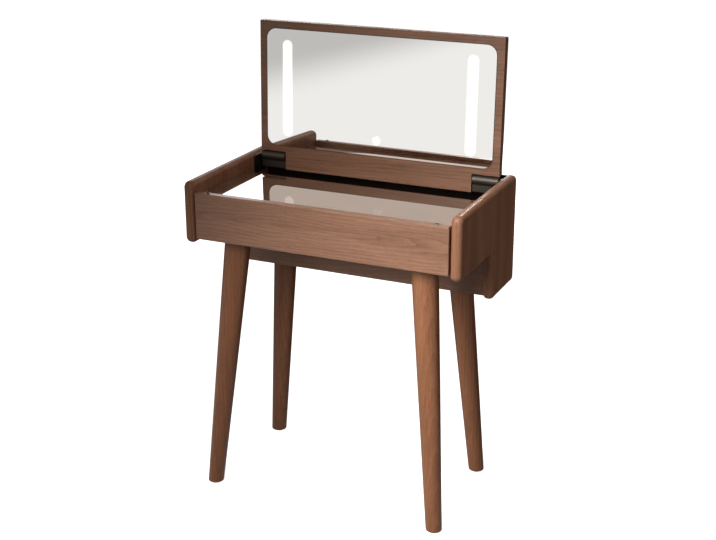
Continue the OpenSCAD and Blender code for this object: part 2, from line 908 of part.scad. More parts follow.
module rail_dowels() {
    color("burlywood") both_sides() rail_dowel_set(cam_bolt_r);
}

module drawer_dowels() {
    color("burlywood") both_sides() drawer_dowel_set(4);
}

module leg_plate_screws() {
    color("silver") both_sides() {
        at_front_leg() at_leg_plate_screws() driven_screw(13, 1.75, 3.5);
        at_rear_leg() at_leg_plate_screws() driven_screw(13, 1.75, 3.5);
    }
}

module hinge_plate_screws() {
    color([0.1, 0.1, 0.1]) both_sides() at_hinge_plate_screws() driven_screw(18, 2, 3.8);
}

module hinge_arm_screws() {
    color("silver") on_flap() both_sides() at_hinge_arm_screws() driven_screw(13, 2, 4);
}

module slide_screws() {
    color("silver") both_sides() at_slide_screws() driven_screw(14, 1.75, 2.95);
}

module drawer_slide_screws() {
    color("silver") both_sides() at_drawer_slide_screws() driven_screw(11, 1.75, 2.95);
}

module cleat_screws() {
    color("silver") both_sides() at_cleat_screws() driven_screw(27, 1.75, 3.5);
}

module back_screws() {
    color("silver") at_back_screws() driven_screw(24, 1.75, 3.5);
}

module drawer_screws() {
    color("silver") both_sides() at_drawer_screws() driven_screw(30, 1.75, 3.5);
}

side_panel_left();
side_panel_right();
drawer_floor();
well_front_wall();
well_floor();
back_panel();
front_rail();
glass_cleat_left();
glass_cleat_right();
glass_top();
glass_pads();
leg_front_left();
leg_front_right();
leg_rear_left();
leg_rear_right();
leg_plates();
hanger_bolts();
foot_pads();
drawer_front();
drawer_side_left();
drawer_side_right();
drawer_back();
drawer_bottom();
slide_outer_left();
slide_outer_right();
slide_inner_left();
slide_inner_right();
ball_cage_left();
ball_cage_right();
flap_board();
mirror_glass();
light_diffusers();
led_strips();
touch_button();
touch_sensor();
light_controller();
light_battery();
light_wires();
charge_port();
flap_bumpers();
hinge_plate_left();
hinge_plate_right();
hinge_pins();
hinge_arm_left();
hinge_arm_right();
friction_sleeves();
cam_locks();
cam_bolts();
rail_dowels();
drawer_dowels();
leg_plate_screws();
hinge_plate_screws();
hinge_arm_screws();
slide_screws();
drawer_slide_screws();
cleat_screws();
back_screws();
drawer_screws();
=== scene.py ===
import bpy
import bmesh
from math import pi, radians, tan
from mathutils import Matrix, Vector


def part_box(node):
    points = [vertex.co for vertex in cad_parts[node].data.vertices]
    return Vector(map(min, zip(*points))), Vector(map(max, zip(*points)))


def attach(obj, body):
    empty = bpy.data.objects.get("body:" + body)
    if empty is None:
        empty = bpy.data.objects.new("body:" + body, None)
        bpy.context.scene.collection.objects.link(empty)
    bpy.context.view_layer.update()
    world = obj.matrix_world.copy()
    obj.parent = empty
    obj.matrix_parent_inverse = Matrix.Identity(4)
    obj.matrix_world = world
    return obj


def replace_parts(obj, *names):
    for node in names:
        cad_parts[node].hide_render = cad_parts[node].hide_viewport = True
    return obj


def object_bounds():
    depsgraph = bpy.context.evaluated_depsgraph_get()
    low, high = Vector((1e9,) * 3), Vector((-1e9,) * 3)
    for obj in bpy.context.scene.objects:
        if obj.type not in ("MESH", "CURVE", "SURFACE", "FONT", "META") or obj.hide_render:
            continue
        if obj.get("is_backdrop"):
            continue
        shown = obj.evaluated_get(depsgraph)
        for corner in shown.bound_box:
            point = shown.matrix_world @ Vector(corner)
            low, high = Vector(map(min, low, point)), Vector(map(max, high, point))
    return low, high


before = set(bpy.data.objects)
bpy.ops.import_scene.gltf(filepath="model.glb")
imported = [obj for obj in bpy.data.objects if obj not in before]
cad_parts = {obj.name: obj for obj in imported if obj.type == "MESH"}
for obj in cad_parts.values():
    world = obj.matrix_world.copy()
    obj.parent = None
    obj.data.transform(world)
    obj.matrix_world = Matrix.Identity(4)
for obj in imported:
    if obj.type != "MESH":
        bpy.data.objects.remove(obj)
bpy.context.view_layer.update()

# ----------------------------------------------------------------------- legs
# Four round legs of solid walnut, turned to a long taper and lacquered. They
# splay to the sides, the front pair also forwards and the rear pair backwards,
# and each is cut level at the top and at the foot.
MM = 0.001
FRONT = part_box("side_panel_left")[0].y
LEG_X, LEG_SPLAY = 227 * MM, radians(5)
# the radius at the floor, how much it grows per metre of height, and the felt under the foot
FOOT_R, TAPER, PAD_T = 18.5 * MM, 0.019, 3 * MM
# each blank is this much longer at either end before it is cut level, and the foot's edge is
# rounded by this much so that it doesn't splinter
SPARE, FOOT_EDGE = 20 * MM, 2 * MM


def linear(code):
    """sRGB hex value as the linear colour that a shader takes."""
    parts = [int(code[i:i + 2], 16) / 255 for i in (1, 3, 5)]
    return [c / 12.92 if c <= 0.04045 else ((c + 0.055) / 1.055) ** 2.4 for c in parts] + [1.0]


def add(tree, kind, wires=(), inputs=(), stops=(), **settings):
    """Adds a node with its settings, input values, (output, input) links and colour stops."""
    node = tree.nodes.new("ShaderNode" + kind)
    for name, value in settings.items():
        setattr(node, name, value)
    for key, value in dict(inputs).items():
        node.inputs[key].default_value = value
    for output, key in wires:
        tree.links.new(output, node.inputs[key])
    if stops:
        band = node.color_ramp.elements
        while len(band) < len(stops):
            band.new(0.5)
        for element, (position, code) in zip(band, stops):
            element.position = position
            element.color = linear(code)
    return node


def new_finish(name, **values):
    """A new material with its shader's plain values set."""
    material = bpy.data.materials.new(name)
    material.use_nodes = True
    shader = material.node_tree.nodes["Principled BSDF"]
    for key, value in values.items():
        value = linear(value) if isinstance(value, str) else value
        shader.inputs[key.replace("_", " ")].default_value = value
    return material, material.node_tree, shader


# Timber cut from the log: growth rings round the tree's heart show as straight
# lines or as pointed arches, fibres as fine streaks along the grain, and pores
# as short dark dashes. The lacquer is satin, so its gloss is soft and broken.
def timber(name, turn, heart_mm, ring_mm, stops, lines=0.16, streak=0.13, cloud=0.14, pore=0.3,
           sheen=0.42, gloss=0.5, wander_mm=30):
    """turn brings the grain to X, and heart_mm is where the tree's heart then lies.

    lines, streak, cloud and pore say how strongly rings, fibres, broad clouds and pores show.
    """
    material, tree, shader = new_finish(name, Specular_IOR_Level=gloss)
    place = add(tree, "TexCoord").outputs["Object"]
    turned = add(tree, "Mapping", [(place, "Vector")],
                 {"Rotation": turn, "Location": [-v * MM for v in heart_mm]}).outputs["Vector"]
    # how long and how wide each noise's grains are in mm, its detail and its roughness. Fibres are
    # drawn 4 mm wide and pores 1 mm, so that they show from a few steps away
    noise = {}
    for part, long_mm, wide_mm, detail, rough in (
            ("wander", 417, 67, 3, 0.62), ("fibre", 333, 4, 4, 0.6), ("cloud", 556, 59, 2, 0.5),
            ("pore", 22, 1, 1, 0.5)):
        along, across = 1 / (long_mm * MM), 1 / (wide_mm * MM)
        scaled = add(tree, "VectorMath", [(turned, 0)], {1: (along, across, across)}, operation="MULTIPLY")
        noise[part] = add(tree, "TexNoise", [(scaled.outputs["Vector"], "Vector")],
                          {"Scale": 1, "Detail": detail, "Roughness": rough})
    # a tree never grows quite round, so the rings wander to either side
    off = add(tree, "VectorMath", [(noise["wander"].outputs["Color"], 0)], {1: (0.5, 0.5, 0.5)},
              operation="SUBTRACT")
    bent = add(tree, "VectorMath", [(off.outputs["Vector"], 0), (turned, 2)],
               {1: (0, wander_mm * MM, wander_mm * MM)}, operation="MULTIPLY_ADD")
    # a wave texture's rings are pi / 10 wide at a scale of 1
    rings = add(tree, "TexWave", [(bent.outputs["Vector"], "Vector")],
                {"Scale": pi / 10 / (ring_mm * MM), "Distortion": 0.6, "Detail": 2, "Detail Scale": 1},
                wave_type="RINGS", rings_direction="X", wave_profile="SAW")
    # each pattern's own range, and the range of shade, of pit or of roughness that it is given
    level = {}
    for part, source, own, given in (
            ("ring", rings, (0, 1), (0.5 - lines / 2, 0.5 + lines / 2)),
            ("fibre", noise["fibre"], (0.3, 0.7), (-streak, streak)),
            ("cloud", noise["cloud"], (0.3, 0.7), (-cloud, cloud)),
            ("pore", noise["pore"], (0.58, 0.7), (0, pore)),
            ("rough", noise["fibre"], (0.3, 0.7), (sheen - 0.05, sheen + 0.08))):
        level[part] = add(tree, "MapRange", [(source.outputs["Fac"], "Value")],
                          {"From Min": own[0], "From Max": own[1],
                           "To Min": given[0], "To Max": given[1]}).outputs[0]
    lined = add(tree, "Math", [(level["ring"], 0), (level["fibre"], 1)], operation="ADD")
    shade = add(tree, "Math", [(lined.outputs[0], 0), (level["cloud"], 1)], operation="ADD",
                use_clamp=True)
    colour = add(tree, "ValToRGB", [(shade.outputs[0], "Fac")], stops=stops)
    pored = add(tree, "Mix", [(level["pore"], 0), (colour.outputs["Color"], 6)], {7: linear(stops[0][1])},
                data_type="RGBA", blend_type="MULTIPLY")
    tree.links.new(pored.outputs[2], shader.inputs["Base Color"])
    tree.links.new(level["rough"], shader.inputs["Roughness"])
    # pores are pits and fibres are low ridges under the lacquer
    relief = add(tree, "Math", [(level["fibre"], 0), (level["pore"], 1)], operation="SUBTRACT")
    bump = add(tree, "Bump", [(relief.outputs[0], "Height")], {"Strength": 0.35, "Distance": 0.15 * MM})
    tree.links.new(bump.outputs["Normal"], shader.inputs["Normal"])
    return material


# solid walnut: a warm brown, a little redder than the veneer
SOLID_WALNUT = [(0.0, "#522d19"), (0.35, "#7e5136"), (0.65, "#956446"), (1.0, "#a97955")]
turned_walnut = timber("walnut, turned and lacquered", (0, pi / 2, 0), (0, 60, 0), 8, SOLID_WALNUT,
                       lines=0.14, sheen=0.38, gloss=0.28, wander_mm=12)


def set_down(name, shape, body, finishes, crisp=40):
    """Makes a mesh into a piece that rides on a body. Edges sharper than crisp degrees stay crisp."""
    for face in shape.faces:
        face.smooth = True
    for edge in shape.edges:
        edge.smooth = edge.calc_face_angle(0.0) < radians(crisp)
    mesh = bpy.data.meshes.new(name)
    shape.to_mesh(mesh)
    shape.free()
    for finish in finishes:
        mesh.materials.append(finish)
    piece = bpy.data.objects.new(name, mesh)
    bpy.context.scene.collection.objects.link(piece)
    shading = piece.modifiers.new("even shading", "WEIGHTED_NORMAL")
    shading.keep_sharp = True
    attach(piece, body)
    return piece


# each leg's side, how far behind the front its top is and how high, both in mm, and how many degrees
# it splays backwards
for name, side, back_mm, top_mm, splay_back in (
        ("leg_front_left", -1, 62, 603, -5), ("leg_front_right", 1, 62, 603, -5),
        ("leg_rear_left", -1, 291, 497, 3), ("leg_rear_right", 1, 291, 497, 3)):
    top = top_mm * MM
    lean = Vector((-side * tan(LEG_SPLAY), -tan(radians(splay_back)), 1.0))
    length = top * lean.length
    leg = bmesh.new()
    bmesh.ops.create_cone(leg, cap_ends=True, segments=96, depth=length + 2 * SPARE,
                          radius1=FOOT_R - (SPARE + length - top) * TAPER,
                          radius2=FOOT_R + (SPARE + top) * TAPER)
    bmesh.ops.translate(leg, vec=(0, 0, -length / 2), verts=leg.verts)
    upright_to_lean = Vector((0, 0, 1)).rotation_difference(lean).to_matrix()
    bmesh.ops.rotate(leg, matrix=upright_to_lean, verts=leg.verts)
    bmesh.ops.translate(leg, vec=(side * LEG_X, FRONT + back_mm * MM, top), verts=leg.verts)
    # what is below the foot and above the top is cut off
    for height, waste in ((PAD_T, -1), (top, 1)):
        bmesh.ops.bisect_plane(leg, geom=leg.verts[:] + leg.edges[:] + leg.faces[:],
                               plane_co=(0, 0, height), plane_no=(0, 0, waste), clear_outer=True)
        bmesh.ops.holes_fill(leg, edges=[e for e in leg.edges if e.is_boundary])
    foot = [e for e in leg.edges if all(abs(v.co.z - PAD_T) < 1e-6 for v in e.verts)]
    bmesh.ops.bevel(leg, geom=foot, offset=FOOT_EDGE, segments=3, profile=0.5, affect="EDGES",
                    material=-1)
    bmesh.ops.recalc_face_normals(leg, faces=leg.faces)
    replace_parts(set_down(name + "_turned", leg, "table", [turned_walnut]), name)

# --------------------------------------------------------------- leg hardware
# Each leg screws onto a pressed steel plate under its board by a hanger bolt.
# The plates are powder coated black, and the bolts and all the plain screws
# are zinc plated. Felt pads under the feet keep the floor from scratches.


def carried(nodes, finish):
    """CAD pieces that keep their shape and take a finish."""
    for node in nodes:
        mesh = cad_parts[node].data
        mesh.materials.clear()
        mesh.materials.append(finish)


def speckled(name, base, mottle, grain_mm, rough, depth_mm=0.0, **values):
    """A finish with an even grain in its colour and gloss, such as plating, paint or felt.

    The real grain is mostly finer than half a millimetre, so it is drawn coarser to show.
    """
    material, tree, shader = new_finish(name, **values)
    place = add(tree, "TexCoord").outputs["Object"]
    grain = add(tree, "TexNoise", [(place, "Vector")], {"Scale": 1 / (grain_mm * MM), "Detail": 2})
    colour = add(tree, "ValToRGB", [(grain.outputs["Fac"], "Fac")], stops=[(0.3, base), (0.7, mottle)])
    tree.links.new(colour.outputs["Color"], shader.inputs["Base Color"])
    gloss = add(tree, "MapRange", [(grain.outputs["Fac"], "Value")],
                {"From Min": 0.3, "From Max": 0.7, "To Min": rough * 0.85, "To Max": rough * 1.15})
    tree.links.new(gloss.outputs[0], shader.inputs["Roughness"])
    if depth_mm:
        bump = add(tree, "Bump", [(grain.outputs["Fac"], "Height")],
                   {"Strength": 0.5, "Distance": depth_mm * MM})
        tree.links.new(bump.outputs["Normal"], shader.inputs["Normal"])
    return material


# powder coat: black, with the slight orange peel of paint that melts on the steel
powder_coat = speckled("black powder coat on steel", "#101010", "#191918", 0.9, 0.42, 0.06)
# bright zinc plating: pale blue-grey, with a faint spangle
zinc_plate = speckled("zinc plated steel", "#a9adb0", "#c2c5c6", 2.5, 0.34, Metallic=1.0)
# pressed felt: dark and quite matt, with a soft nap
felt = speckled("pressed felt", "#2c2724", "#4b443f", 0.7, 0.95, 0.5, Sheen_Weight=0.4)
carried(["leg_plates"], powder_coat)
carried(["hanger_bolts", "leg_plate_screws"], zinc_plate)
carried(["foot_pads"], felt)

# ---------------------------------------------------------------- side panels
# Each side is one walnut-faced board, 25 mm thick, cut to a step: shallow over
# the knees, deep where the well is. Its edges are rounded over by 11 mm and its
# corners by 14 mm. The grain stands upright.


def merged_copy(node):
    """A copy of a CAD piece's mesh, its loose triangles joined into whole faces."""
    shape = bmesh.new()
    shape.from_mesh(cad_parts[node].data)
    bmesh.ops.remove_doubles(shape, verts=shape.verts, dist=0.002 * MM)
    bmesh.ops.dissolve_limit(shape, angle_limit=radians(0.2), verts=shape.verts, edges=shape.edges)
    return shape


# plain-sliced veneer: long, nearly straight lines, in broad bands of lighter and darker wood
PANEL_WALNUT = [(0.0, "#593421"), (0.35, "#835941"), (0.65, "#9b6e55"), (1.0, "#ae8366")]
panel_walnut = timber("walnut veneer, upright", (0, radians(91.2), 0), (0, -10, 40), 9, PANEL_WALNUT,
                      lines=0.12, cloud=0.2, sheen=0.46, gloss=0.28)
for node in ("side_panel_left", "side_panel_right"):
    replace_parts(set_down(node + "_board", merged_copy(node), "table", [panel_walnut]),
                node)

# --------------------------------------------------------------- inner boards
# The floor under the drawer, the wall and floor of the well, the rail and the
# battens under the glass. They are walnut-veneered, with the grain across the
# table, and their arrises are just taken off with sandpaper.


def eased_copy(node, arris_mm):
    """A copy of a CAD board with its long arrises rounded."""
    shape = merged_copy(node)
    arrises = [e for e in shape.edges
               if e.calc_face_angle(0.0) > radians(60) and e.calc_length() > 12 * MM]
    bmesh.ops.bevel(shape, geom=arrises, offset=arris_mm * MM, segments=2, profile=0.5, affect="EDGES",
                    clamp_overlap=True, material=-1)
    return shape


# walnut veneer: mid brown with a slight grey cast, satin
WALNUT = [(0.0, "#553524"), (0.35, "#7e5943"), (0.65, "#956d56"), (1.0, "#a98366")]
lying_walnut = timber("walnut veneer, lying", (0, 0, radians(2.5)), (0, -150, 655), 8, WALNUT)
for node in ("drawer_floor", "well_front_wall", "well_floor", "front_rail", "glass_cleat_left",
             "glass_cleat_right"):
    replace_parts(set_down(node + "_board", eased_copy(node, 0.8), "table", [lying_walnut]),
                node)

# ----------------------------------------------------------------- back panel
# A thin board in a rebate of the side panels, held with screws. Its outer face
# is veneered like the rest. Its inner face, which shows only in the slot behind
# the tray, is painted nearly black: painted shade for the dark well.
BACK_TURN, BACK_HEART, BACK_RING = (0, radians(1.5), 0), (0, 240, 560), 9
# the same veneer, its lines across the table
back_walnut = timber("walnut veneer, plain", BACK_TURN, BACK_HEART, BACK_RING, WALNUT)
# the painted shade drowns the figure and leaves a low gloss
PAINTED_SHADE_BROWN = [(0.0, "#0a0504"), (0.35, "#120a07"), (0.65, "#190e0a"), (1.0, "#20130d")]
shade_painted_walnut = timber("walnut veneer, painted shade", BACK_TURN, BACK_HEART, BACK_RING, PAINTED_SHADE_BROWN,
                        gloss=0.2)
back_board = eased_copy("back_panel", 0.6)
# the inner face, facing the front, takes the painted shade
for face in back_board.faces:
    face.material_index = 1 if face.normal.y < -0.9 else 0
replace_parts(set_down("back_panel_board", back_board, "table", [back_walnut, shade_painted_walnut]),
            "back_panel")

# -------------------------------------------------------- fittings of the case
# Cam locks turn on steel bolts and draw the boards against the side panels.
# Birch dowels locate the rail, and countersunk screws hold the battens, the
# slides and the back.

# die-cast zinc: grey and slightly dull, with the fine grain of the mould
zinc_casting = speckled("zinc casting", "#8d8e8f", "#a8a9a9", 1.2, 0.45, 0.05, Metallic=1.0)
# birch: pale and smooth, with soft lines and hardly a pore
BIRCH = [(0.0, "#b48f66"), (0.4, "#cfae86"), (0.7, "#dec29d"), (1.0, "#e9d4b4")]
birch = timber("birch, sanded", (0, 0, radians(3)), (0, -60, 620), 7, BIRCH, lines=0.2, pore=0.1,
               sheen=0.5)
carried(["cam_locks"], zinc_casting)
carried(["cam_bolts", "cleat_screws", "back_screws", "slide_screws", "drawer_slide_screws",
         "drawer_screws", "hinge_arm_screws"], zinc_plate)
carried(["rail_dowels", "drawer_dowels"], birch)

# -------------------------------------------------------------------- the tray
# Tinted float glass with polished edges lies in the tray on clear dots. Seen
# flat it is a dark mirror, and it ends short of the flap over the open well.


def rounded_plate(width, height, corner, thick, arris):
    """A plate on z = 0 with round corners, centred, its arrises taken off."""
    plate = bmesh.new()
    bmesh.ops.create_grid(plate, x_segments=1, y_segments=1, size=0.5)
    bmesh.ops.scale(plate, vec=(width, height, 1), verts=plate.verts)
    bmesh.ops.bevel(plate, geom=plate.verts[:], offset=corner, segments=14, profile=0.5,
                    affect="VERTICES", material=-1)
    grown = bmesh.ops.extrude_face_region(plate, geom=plate.faces[:])["geom"]
    upper = [v for v in grown if isinstance(v, bmesh.types.BMVert)]
    bmesh.ops.translate(plate, vec=(0, 0, thick), verts=upper)
    rim = [e for e in plate.edges if e.calc_face_angle(0.0) > radians(60)]
    bmesh.ops.bevel(plate, geom=rim, offset=arris, segments=2, profile=0.5, affect="EDGES", material=-1)
    bmesh.ops.recalc_face_normals(plate, faces=plate.faces)
    return plate


# the tint is brown-grey, and both faces reflect, so it mirrors brighter than one face would
tinted_glass, tree, shader = new_finish(
    "tinted float glass", IOR=1.45, Specular_Tint="#e8cdb9",
    Coat_Weight=1.0, Coat_IOR=1.5, Coat_Roughness=0.01, Coat_Tint="#f0dccb")
place = add(tree, "TexCoord").outputs["Object"]
# a wiping cloth leaves smears of some 70 mm
wiped = add(tree, "TexNoise", [(place, "Vector")], {"Scale": 1 / (71 * MM), "Detail": 3})
smear = add(tree, "MapRange", [(wiped.outputs["Fac"], "Value")],
            {"From Min": 0.4, "From Max": 0.8, "To Min": 0.012, "To Max": 0.05})
tree.links.new(smear.outputs[0], shader.inputs["Roughness"])
tint = add(tree, "ValToRGB", [(wiped.outputs["Fac"], "Fac")], stops=[(0.35, "#695c54"), (0.65, "#73665e")])
tree.links.new(tint.outputs["Color"], shader.inputs["Base Color"])
GLASS_CORNER, GLASS_ARRIS = 5 * MM, 0.8 * MM
low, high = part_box("glass_top")
sheet = rounded_plate(high.x - low.x, high.y - low.y, GLASS_CORNER, high.z - low.z, GLASS_ARRIS)
bmesh.ops.translate(sheet, vec=(0, (low.y + high.y) / 2, low.z), verts=sheet.verts)
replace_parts(set_down("glass_top_sheet", sheet, "table", [tinted_glass]), "glass_top")
# soft PVC: nearly clear, a little milky
clear_pvc = speckled("clear soft PVC", "#d4d8d8", "#e3e6e6", 1.5, 0.3, Transmission_Weight=0.6)
carried(["glass_pads"], clear_pvc)

# ---------------------------------------------------------------- drawer front
# A plain walnut-veneered front without a handle, set back a little between the
# side panels. The veneer is cut so that its arches run towards the right.
front_walnut = timber("walnut veneer, arched", (0, radians(0.4), radians(3.2)), (0, -176, 668), 7, WALNUT,
                      lines=0.22, streak=0.12)
FRONT_EDGE = 2 * MM
low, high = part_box("drawer_front")
front_board = bmesh.new()
bmesh.ops.create_cube(front_board, size=1)
bmesh.ops.scale(front_board, vec=high - low, verts=front_board.verts)
bmesh.ops.translate(front_board, vec=(low + high) / 2, verts=front_board.verts)
bmesh.ops.bevel(front_board, geom=front_board.edges[:], offset=FRONT_EDGE, segments=4, profile=0.5,
                affect="EDGES", material=-1)
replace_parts(set_down("drawer_front_board", front_board, "drawer", [front_walnut]),
            "drawer_front")

# ------------------------------------------------------------------ drawer box
# Sides, back and bottom of birch, joined with dowels and screws, on ball
# bearing slides of rolled steel whose balls run in a sheet metal cage.
for node in ("drawer_side_left", "drawer_side_right", "drawer_back", "drawer_bottom"):
    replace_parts(set_down(node + "_board", eased_copy(node, 0.8), "drawer", [birch]), node)
# galvanised strip: cool grey with a soft spangle
galvanised = speckled("galvanised steel strip", "#9fa3a5", "#b9bcbd", 6, 0.38, Metallic=1.0)
# ground and polished steel: bright, with a sharp gloss
bright_steel = speckled("bright steel", "#a8a9ab", "#bcbdbe", 3, 0.2, Metallic=1.0)
carried(["slide_outer_left", "slide_outer_right", "slide_inner_left", "slide_inner_right"], galvanised)
carried(["ball_cage_left", "ball_cage_right", "hinge_pins"], bright_steel)

# ------------------------------------------------------------------------ flap
# The lid of the table: one walnut-veneered board with the grain across. The
# mirror is let into its inner face, flush, and the two lower corners are cut
# away for the hinges. It is shown open, leaning two degrees backwards.
TILT = radians(2)
HINGE_Y, HINGE_Z = FRONT + 325 * MM, 728 * MM
# the hinge line lies this far behind the mirror's face and above the flap's lower edge
HINGE_IN, HINGE_UP = 8 * MM, 29 * MM
flap_place = (Matrix.Translation((0, HINGE_Y, HINGE_Z)) @ Matrix.Rotation(-TILT, 4, "X")
              @ Matrix.Translation((0, -HINGE_IN, -HINGE_UP)))


def onto_flap(shape, across, into, up):
    """Puts a plate, drawn on z = 0, on the flap: across, from its face into the board, and up."""
    bmesh.ops.transform(shape, matrix=flap_place @ Matrix.Translation((across, into, up))
                        @ Matrix.Rotation(pi / 2, 4, "X"), verts=shape.verts)


# the same veneer, its lines across the lid and slightly aslant
flap_walnut = timber("walnut veneer, flap", (0, radians(0.6), radians(-1.5)), (0, 180, 800), 8, WALNUT)
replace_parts(set_down("flap_board_lid", eased_copy("flap_board", 1.2), "flap",
                     [flap_walnut]), "flap_board")

# ---------------------------------------------------------------------- mirror
# Silvered float glass with rounded corners. Two upright windows are left
# without silver and frosted, so that the lamps behind them shine through.
MIRROR_W, MIRROR_H, MIRROR_T, MIRROR_FOOT = 569 * MM, 279 * MM, 4 * MM, 57 * MM
MIRROR_MID = MIRROR_FOOT + MIRROR_H / 2
MIRROR_CORNER, MIRROR_ARRIS = 24.5 * MM, 1.0 * MM
WINDOW_X, WINDOW_W, WINDOW_H = 230 * MM, 22 * MM, 224 * MM
# the silver takes a shade off what it mirrors, and breath and dust dull it in patches of some 110 mm
# the silver's emission colour serves only the painted glow round the windows
silver, tree, shader = new_finish("silvered float glass", Base_Color="#efedea", Metallic=1.0,
                                  Emission_Color="#fffaf0")
place = add(tree, "TexCoord").outputs["Object"]
breath = add(tree, "TexNoise", [(place, "Vector")], {"Scale": 1 / (111 * MM), "Detail": 3})
haze = add(tree, "MapRange", [(breath.outputs["Fac"], "Value")],
           {"From Min": 0.45, "From Max": 0.8, "To Min": 0.0, "To Max": 0.03})
tree.links.new(haze.outputs[0], shader.inputs["Roughness"])
# the silver itself gives off a painted glow of 4 mm round each window.
# It fades with the distance from the line that runs down the window's middle
PAINTED_GLOW, PAINTED_GLOW_REACH = 0.3, 4 * MM
spot = add(tree, "SeparateXYZ", [(place, "Vector")])
from_middle = add(tree, "Math", [(spot.outputs["X"], 0)], operation="ABSOLUTE")
beside = add(tree, "Math", [(from_middle.outputs[0], 0)], {1: WINDOW_X}, operation="SUBTRACT")
mirror_middle = flap_place @ Vector((0, 0, MIRROR_MID))
above_middle = add(tree, "Math", [(spot.outputs["Z"], 0)], {1: mirror_middle.z}, operation="SUBTRACT")
above_or_below = add(tree, "Math", [(above_middle.outputs[0], 0)], operation="ABSOLUTE")
past_line = add(tree, "Math", [(above_or_below.outputs[0], 0)], {1: (WINDOW_H - WINDOW_W) / 2},
                operation="SUBTRACT")
past_end = add(tree, "Math", [(past_line.outputs[0], 0)], {1: 0.0}, operation="MAXIMUM")
way = add(tree, "CombineXYZ", [(beside.outputs[0], "X"), (past_end.outputs[0], "Y")])
distance = add(tree, "VectorMath", [(way.outputs["Vector"], 0)], operation="LENGTH")
painted_glow = add(tree, "MapRange", [(distance.outputs["Value"], "Value")],
           {"From Min": WINDOW_W / 2, "From Max": WINDOW_W / 2 + PAINTED_GLOW_REACH, "To Min": PAINTED_GLOW, "To Max": 0.0},
           interpolation_type="SMOOTHSTEP")
tree.links.new(painted_glow.outputs[0], shader.inputs["Emission Strength"])
# the ground edge: dark green-grey, matt
ground_edge = speckled("ground glass edge", "#3b4441", "#4a5450", 0.8, 0.35)
glass = rounded_plate(MIRROR_W, MIRROR_H, MIRROR_CORNER, MIRROR_T, MIRROR_ARRIS)
for face in glass.faces:
    face.material_index = 0 if abs(face.normal.z) > 0.99 else 1
onto_flap(glass, 0, MIRROR_T, MIRROR_MID)
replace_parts(set_down("mirror_plate", glass, "flap", [silver, ground_edge]), "mirror_glass")

# frosted windows: the etched glass spreads the light of the lamps evenly. Its grain is drawn
# 1.1 mm wide, coarser than the real one
frosted, tree, shader = new_finish("frosted glass, lit", Base_Color="#f7f6f2", Roughness=0.6,
                                   Emission_Strength=1.15)
place = add(tree, "TexCoord").outputs["Object"]
frost = add(tree, "TexNoise", [(place, "Vector")], {"Scale": 1 / (1.1 * MM), "Detail": 2})
lit = add(tree, "ValToRGB", [(frost.outputs["Fac"], "Fac")], stops=[(0.3, "#fffaf0"), (0.7, "#fffdf8")])
tree.links.new(lit.outputs["Color"], shader.inputs["Emission Color"])
# a window is a thin plate, let WINDOW_IN into the mirror's face. Its ends are round but for a hair
WINDOW_T, WINDOW_IN, WINDOW_ARRIS, HAIR = 0.3 * MM, 0.2 * MM, 0.08 * MM, 0.1 * MM
for side, name in ((-1, "left"), (1, "right")):
    window = rounded_plate(WINDOW_W, WINDOW_H, WINDOW_W / 2 - HAIR, WINDOW_T, WINDOW_ARRIS)
    onto_flap(window, side * WINDOW_X, WINDOW_IN, MIRROR_MID)
    set_down("light_window_" + name, window, "flap", [frosted])
# opal acrylic: milky white, satin
opal = speckled("opal acrylic", "#eeeeea", "#f4f4f0", 1.5, 0.5)
carried(["light_diffusers"], opal)

# --------------------------------------------------------------- touch button
# A white disc stuck on the mirror. A ring pressed into it shows where to touch,
# and a copper pad behind the glass feels the finger.


def turned_round(profile_mm, steps):
    """A round piece on z = 0 from its half outline, (radius, height) points in mm."""
    shape = bmesh.new()
    points = [shape.verts.new((r * MM, 0, h * MM)) for r, h in profile_mm]
    for start, end in zip(points, points[1:]):
        shape.edges.new((start, end))
    bmesh.ops.spin(shape, geom=shape.verts[:] + shape.edges[:], cent=(0, 0, 0), axis=(0, 0, 1),
                   angle=2 * pi, steps=steps, use_merge=True)
    bmesh.ops.remove_doubles(shape, verts=shape.verts, dist=0.005 * MM)
    bmesh.ops.recalc_face_normals(shape, faces=shape.faces)
    return shape


# moulded ABS: clean white, smooth, and it gives off an even painted glow that brightens it
white_abs_painted_glow = speckled("white ABS, painted glow", "#ebebe8", "#f1f1ee", 2, 0.25,
                     Emission_Color="#fffdf8", Emission_Strength=0.5)
# how far its middle is above the flap's lower edge, and in mm its radius, its height, and its height
# at the bottom of the ring
BUTTON_UP, BUTTON_R, BUTTON_H, RING_H = 94 * MM, 11, 0.6, 0.4
button = turned_round([(0, BUTTON_H), (4.6, BUTTON_H), (4.9, RING_H), (5.5, RING_H), (5.8, BUTTON_H),
                       (10.4, BUTTON_H), (10.85, 0.45), (BUTTON_R, 0.1), (BUTTON_R, 0), (0, 0)], 48)
onto_flap(button, 0, 0, BUTTON_UP)
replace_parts(set_down("touch_button_disc", button, "flap", [white_abs_painted_glow], crisp=30),
            "touch_button")
# rolled copper: warm pink-brown, softly bright
copper_foil = speckled("copper foil", "#b5714c", "#c98860", 2, 0.3, Metallic=1.0)
carried(["touch_sensor"], copper_foil)

# ----------------------------------------------------------- lights in the flap
# Behind the mirror: lamps on circuit strip, their controller, a flat
# rechargeable cell in grey foil, the leads, and the charging socket.

# solder resist: an even skin with a satin gloss, white on the strip and green on the board
circuit_strip = speckled("white circuit strip", "#e4e2d6", "#f0eee4", 1.2, 0.45)
circuit_board = speckled("green circuit board", "#123f27", "#1d5535", 0.8, 0.35)
# laminated foil: grey, slightly wrinkled
cell_foil = speckled("cell in grey foil", "#6d7277", "#848a8f", 4, 0.35)
# extruded PVC: plain red, smooth
lead_jacket = speckled("red lead insulation", "#7c1611", "#8e1d16", 1, 0.35)
# nickel: warmer and darker than zinc
socket_shell = speckled("nickel plated shell", "#9a9b9c", "#adaeae", 1.5, 0.3, Metallic=1.0)
carried(["led_strips"], circuit_strip)
carried(["light_controller"], circuit_board)
carried(["light_battery"], cell_foil)
carried(["light_wires"], lead_jacket)
carried(["charge_port"], socket_shell)

